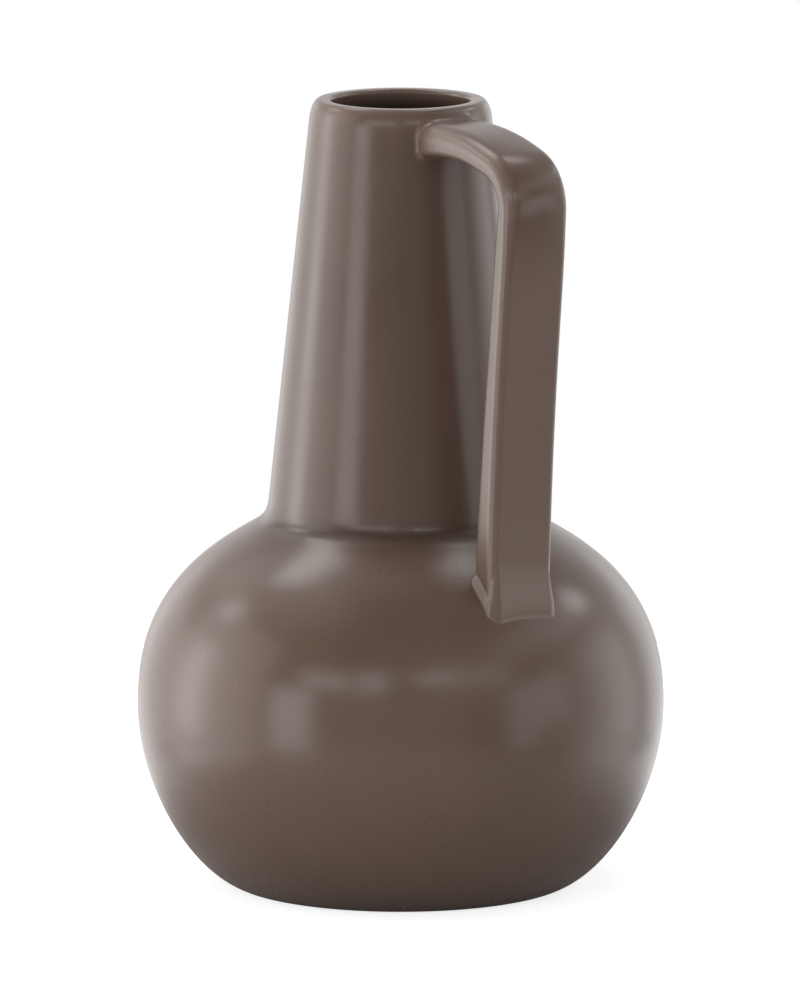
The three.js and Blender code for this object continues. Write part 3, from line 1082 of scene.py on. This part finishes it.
def build_glaze(name, roughness):
    """The satin glaze, with the bare clay of the foot ring showing where the mask says."""
    material, tree, shader = new_material(name)
    place = new_node(tree, "TexCoord").outputs["Object"]
    tone = use_group(tree, glaze_mottle, place)
    pinholes = use_group(tree, kiln_specks, place, Cell_Scale=130.0, Spot_Size=0.07, Share=0.02)
    dark_specks = use_group(tree, kiln_specks, place, Cell_Scale=210.0, Spot_Size=0.09, Share=0.015)
    sunk = math_node(tree, "MULTIPLY", pinholes, pinhole_depth)
    skin = use_group(tree, glaze_skin, place, Pinholes=sunk)
    # The edge mask is partly thin glaze and partly painted light.
    pale_and_light = math_node(tree, "MULTIPLY", mask_attribute(tree, "pale_glaze_and_painted_light"), pale_and_light_strength)
    painted_shade_factor = math_node(tree, "MULTIPLY", mask_attribute(tree, "painted_shade"), painted_shade_strength)
    specks = math_node(tree, "MULTIPLY", dark_specks, speck_strength)
    ground = mix_colours(tree, range_node(tree, tone, 0.25, 0.75, 0.0, 1.0), glaze_dark, glaze_brown)
    edged = mix_colours(tree, pale_and_light, ground, pale_glaze_and_light)
    # Painted shade darkens the corner under the neck and the neck.
    with_shade = mix_colours(tree, painted_shade_factor, edged, painted_shade_brown)
    # Painted shade darkens the bore.
    with_bore_shade = mix_colours(tree, mask_attribute(tree, "bore_shade"), with_shade, painted_bore_shade)
    specked = mix_colours(tree, specks, with_bore_shade, speck_dark)
    bare = bare_ring(tree, place)
    clay = mix_colours(tree, tone, clay_dark, clay_pale)
    colour = mix_colours(tree, bare, specked, clay)
    satin = range_node(tree, tone, 0.3, 0.7, roughness - satin_spread, roughness + satin_spread)
    dry = math_node(tree, "MULTIPLY", bare, bare_roughness)
    rough = math_node(tree, "ADD", satin, dry)
    bump = new_node(tree, "Bump", Strength=skin_strength, Distance=skin_depth, Height=skin)
    feed_named(tree, shader, Base_Color=colour, Roughness=rough, Normal=bump.outputs["Normal"])
    return material


glaze = build_glaze("satin_glaze", 0.26)
slip_glaze = build_glaze("satin_glaze_over_slip", 0.27)

# %% [markdown]
# ## Putting the vase together
# Each modelled piece stands for one node of the imported model, rides with its body and takes its material.

# %% Assign pieces
pieces = (
    (bulb, "body", "glaze", glaze),
    (neck, "neck", "glaze", glaze),
    (neck_seam, "neck_joint", "slip_glaze", slip_glaze),
    (strap, "handle", "glaze", glaze),
    (neck_saddle, "handle_upper_joint", "slip_glaze", slip_glaze),
    (bulb_saddle, "handle_lower_joint", "slip_glaze", slip_glaze),
)
for piece, node, slot, material in pieces:
    piece.data.materials.append(material)
    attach(piece, "root")
    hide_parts(node)
    print(piece.name, "stands for", node)

# %% [markdown]
# ## The studio
# The vase was photographed on white, between large soft lights. The world is white for the camera, and for
# gloss where a studio is white, behind the vase and at its sides. Towards the camera and overhead a studio
# is darker, and the glaze shows that. For diffuse light the world is only a weak fill.

# %% The room round the vase
fill_strength = 0.4
room_behind = -0.2
room_before = 0.7
room_dark = 0.1
room_low = 0.2
room_high = 0.7
room_ceiling = 0.5


def build_room():
    """How white the studio is in a direction: white behind the vase, dark at the camera and overhead."""
    group, given, result = new_group("studio_room", "White")
    direction = given["Coordinates"]
    level = vector_node(group, "MULTIPLY", "Vector", direction, level_part)
    unit = vector_node(group, "NORMALIZE", "Vector", level)
    towards = vector_node(group, "DOT_PRODUCT", "Value", unit, from_vase(view_azimuth, 0.0))
    white = range_node(group, towards, room_behind, room_before, 1.0, room_dark)
    height = new_node(group, "SeparateXYZ", Vector=direction).outputs["Z"]
    overhead = range_node(group, height, room_low, room_high, 1.0, room_ceiling)
    feed(group, result["White"], math_node(group, "MULTIPLY", white, overhead))
    return group


studio_room = build_room()


def see_background(tree, white_for_gloss):
    """One for rays from the camera or through glass, and the room's white for rays off gloss."""
    path = new_node(tree, "LightPath")
    gloss = math_node(tree, "MULTIPLY", path.outputs["Is Glossy Ray"], white_for_gloss)
    sharp = math_node(tree, "ADD", path.outputs["Is Camera Ray"], gloss)
    seen = math_node(tree, "ADD", sharp, path.outputs["Is Transmission Ray"])
    return math_node(tree, "MINIMUM", seen, 1.0)


# %% World
world = bpy.data.worlds.new("studio")
world.use_nodes = True
world_tree = world.node_tree
background = world_tree.nodes["Background"]
plain_white = (1.0, 1.0, 1.0, 1.0)
world_direction = new_node(world_tree, "TexCoord").outputs["Generated"]
world_seen = see_background(world_tree, use_group(world_tree, studio_room, world_direction))
diffuse_ray = new_node(world_tree, "LightPath").outputs["Is Diffuse Ray"]
world_fill = math_node(world_tree, "MULTIPLY", diffuse_ray, fill_strength)
world_strength = math_node(world_tree, "ADD", world_seen, world_fill)
feed_named(world_tree, background, Color=plain_white, Strength=world_strength)
bpy.context.scene.world = world
print("world fill", fill_strength)

# %% [markdown]
# ### The board under the vase
# The vase stands on a narrow white board, not on a wide floor: the photograph's side lights reach below its
# foot, which the lower half of the bulb shows. The board glows to the camera, like the world, but a little
# less near the vase, where the lamps light it, so that the vase's shadow still shows.

# %% The board
board_width = 0.36
board_length = 0.84
board_tone = 0.56
board_near_glow = 0.78
board_roughness = 0.9
near_reach = (0.06, 0.16)
gloss_reach = (0.08, 0.18)

deselect_all()
bpy.ops.mesh.primitive_plane_add(size=1.0, location=(0.0, 0.0, 0.0), rotation=(0.0, 0.0, view_azimuth))
floor = bpy.context.object
floor.name = "floor"
floor.scale = (board_width, board_length, 1.0)
bpy.ops.object.transform_apply(location=False, rotation=True, scale=True)


def build_floor():
    """White paper that glows to the camera, a little less near the vase."""
    material, tree, shader = new_material("floor_paper")
    place = new_node(tree, "TexCoord").outputs["Object"]
    away = vector_node(tree, "LENGTH", "Value", place)
    far = range_node(tree, away, *gloss_reach, 0.0, 1.0)
    white = math_node(tree, "MULTIPLY", far, use_group(tree, studio_room, place))
    glow = range_node(tree, away, *near_reach, board_near_glow, 1.0)
    emission = math_node(tree, "MULTIPLY", glow, see_background(tree, white))
    paper = (board_tone, board_tone, board_tone, 1.0)
    feed_named(tree, shader, Base_Color=paper, Roughness=board_roughness, Specular_IOR_Level=0.0)
    feed_named(tree, shader, Emission_Color=plain_white, Emission_Strength=emission)
    return material


floor.data.materials.append(build_floor())

# %% [markdown]
# ### Lamps
# The lamps were placed by the highlights: each was traced back from the glaze, as if from a mirror, to the
# direction that it came from. A lamp has a name, an angle round the vase from the camera to the right, an
# angle above level, the angles that it looks wide and tall, and its radiance, which is how bright it looks.
# Its power follows from that and from its size.

# %% Lamps
lamp_distance = 2.5
lamp_target = Vector((0.0, 0.0, 0.12))


def soft_lamp(name, side_angle, height_angle, width_angle, tall_angle, radiance):
    """A soft box in a direction from the vase, as wide and tall as it looks from there."""
    data = bpy.data.lights.new(name, "AREA")
    data.shape = "RECTANGLE"
    data.size = 2 * lamp_distance * math.tan(math.radians(width_angle) / 2)
    data.size_y = 2 * lamp_distance * math.tan(math.radians(tall_angle) / 2)
    data.energy = math.pi * data.size * data.size_y * radiance
    lamp = bpy.data.objects.new(name, data)
    bpy.context.scene.collection.objects.link(lamp)
    towards = from_vase(view_azimuth + math.radians(side_angle), math.radians(height_angle))
    lamp.location = lamp_target + lamp_distance * towards
    lamp.rotation_euler = (-towards).to_track_quat("-Z", "Y").to_euler()
    lamp.visible_camera = False


lamps = (
    ("left_wide", -91.5, 4, 55, 70, 1.3),
    ("left_core", -103, 4, 15, 32, 2.5),
    ("left_low", -118, -30, 36, 16, 1.4),
    ("left_high", -111, 37, 12, 9, 3.3),
    ("left_window", -48.5, -0.5, 19.5, 30, 3.1),
    ("left_arch", -35.5, 21.5, 21, 8.5, 3.2),
    ("over_left", -13, 22.5, 14, 14, 2.5),
    ("over_right", 17, 25, 17.5, 4.5, 5.8),
    ("right_arch", 40, 24, 22, 12, 1.3),
    ("front", -2, 0, 60, 24, 0.24),
    ("right_window", 54, 0, 15, 28, 1.2),
    ("right_mid", 69, 6, 16, 22, 1),
    ("right_upper", 80, 39, 52, 15, 0.7),
    ("right_wide", 107, -2, 30, 50, 0.62),
    ("right_low", 118, -30, 30, 16, 0.7),
    ("right_core", 112, 2, 20, 30, 0.5),
    ("right_high", 121, 35, 12, 9, 3.8),
    ("left_shoulder", -132, 37, 24, 16, 0.8),
    ("overhead", -98, 60, 46, 26, 0.45),
    ("top_left", -140, 57.5, 22, 13, 4.2),
    ("top_right", 149, 65, 17, 13, 3.5),
    ("wall_left", -139.5, 0, 42, 34, 0.6),
    ("wall_right", 149, 0, 25.5, 30, 0.55),
)
for lamp in lamps:
    soft_lamp(*lamp)
print("soft boxes:", len(lamps))
